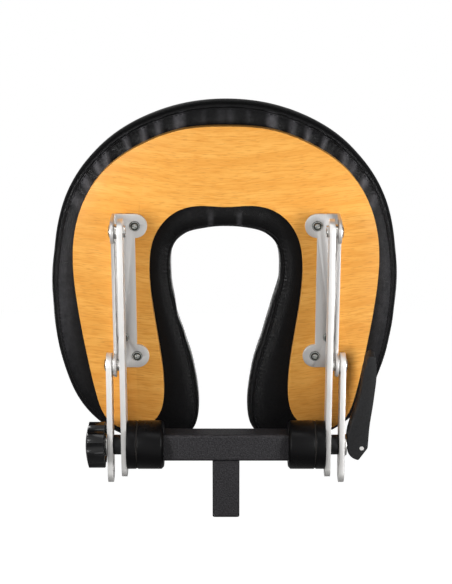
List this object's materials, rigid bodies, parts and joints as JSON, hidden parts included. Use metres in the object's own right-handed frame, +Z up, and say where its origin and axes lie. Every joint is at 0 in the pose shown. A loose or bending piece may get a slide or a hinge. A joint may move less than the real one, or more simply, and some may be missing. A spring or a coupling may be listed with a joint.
{
  "type": "massage table face cradle",
  "caption": "Horseshoe face cushion on a wooden board, carried by folding arms on a T-bar with a lever-clamped tilt joint.",
  "frame": {"origin": "middle of the lower end of the square stem", "axes": "+Z up along the stem, +X along the clamp rod towards the cam lever, +Y towards the face of the cushion"},
  "size_m": [0.3218, 0.1335, 0.3838],
  "materials": {
    "powder_coat": "fine textured dark grey powder coat",
    "black_plastic": "moulded black plastic, satin gloss",
    "lever_plastic": "matte dark grey",
    "end_plug": "matte black plastic",
    "friction": "matte friction lining",
    "arm_aluminium": "satin flat bar",
    "bracket_steel": "satin nickel",
    "zinc_steel": "bright zinc plating",
    "rod_steel": "bright zinc plating",
    "bush_brass": "plain brass",
    "beech": "clear satin lacquer",
    "hook": "woven hook tape",
    "leather": "black upholstery leather, soft sheen",
    "foam": "soft foam"
  },
  "bodies": {
    "tbar": {"cross_tube": "powder_coat", "stem_tube": "powder_coat", "stem_end_plug": "end_plug", "clutch_hub_right": "black_plastic", "clutch_hub_left": "black_plastic"},
    "arms": {"friction_rings": "friction", "clutch_disc_right": "black_plastic", "clutch_disc_left": "black_plastic", "long_arm_right": "arm_aluminium", "long_arm_left": "arm_aluminium", "arm_spacers": "black_plastic", "clamp_washers": "zinc_steel", "clamp_rod": "rod_steel", "lever_pin": "rod_steel"},
    "headrest": {"bracket_right": "bracket_steel", "bracket_left": "bracket_steel", "bracket_screws": "zinc_steel", "upper_pivot_bolts": "zinc_steel", "upper_pivot_nuts": "zinc_steel", "upper_pivot_spacers": "zinc_steel", "lower_pivot_bolts": "zinc_steel", "lower_pivot_nuts": "zinc_steel", "lower_pivot_washers": "zinc_steel", "backing_board": "beech", "hook_tape": "hook", "cushion_cover": "leather", "cushion_foam": "foam"},
    "short_links": {"short_arm_right": "arm_aluminium", "short_arm_left": "arm_aluminium"},
    "lever": {"cam_lever": "lever_plastic"},
    "knob": {"knob": "black_plastic", "knob_insert": "bush_brass"}
  },
  "joints": [
    {"name": "arm_swing", "type": "hinge", "parent": "tbar", "child": "arms", "pos_m": [0, 0, 0.0665], "axis": [1, 0, 0], "range_deg": [-35, 85]},
    {"name": "head_tilt", "type": "hinge", "parent": "arms", "child": "headrest", "pos_m": [0, -0.02023, 0.26912], "axis": [1, 0, 0], "range_deg": [0, 15]},
    {"name": "short_link_pivot", "type": "hinge", "parent": "headrest", "child": "short_links", "pos_m": [0, -0.00321, 0.14326], "axis": [1, 0, 0], "range_deg": [-37, 0]},
    {"name": "lever_open", "type": "hinge", "parent": "arms", "child": "lever", "pos_m": [0.1254, 0, 0.0665], "axis": [0, 0.991, 0.134], "range_deg": [0, 90]},
    {"name": "knob_turn", "type": "hinge", "parent": "arms", "child": "knob", "pos_m": [0, 0, 0.0665], "axis": [1, 0, 0], "continuous": true}
  ],
  "couplings": [
    {"joint": "short_link_pivot", "follows": "head_tilt", "ratio": -2.449}
  ]
}
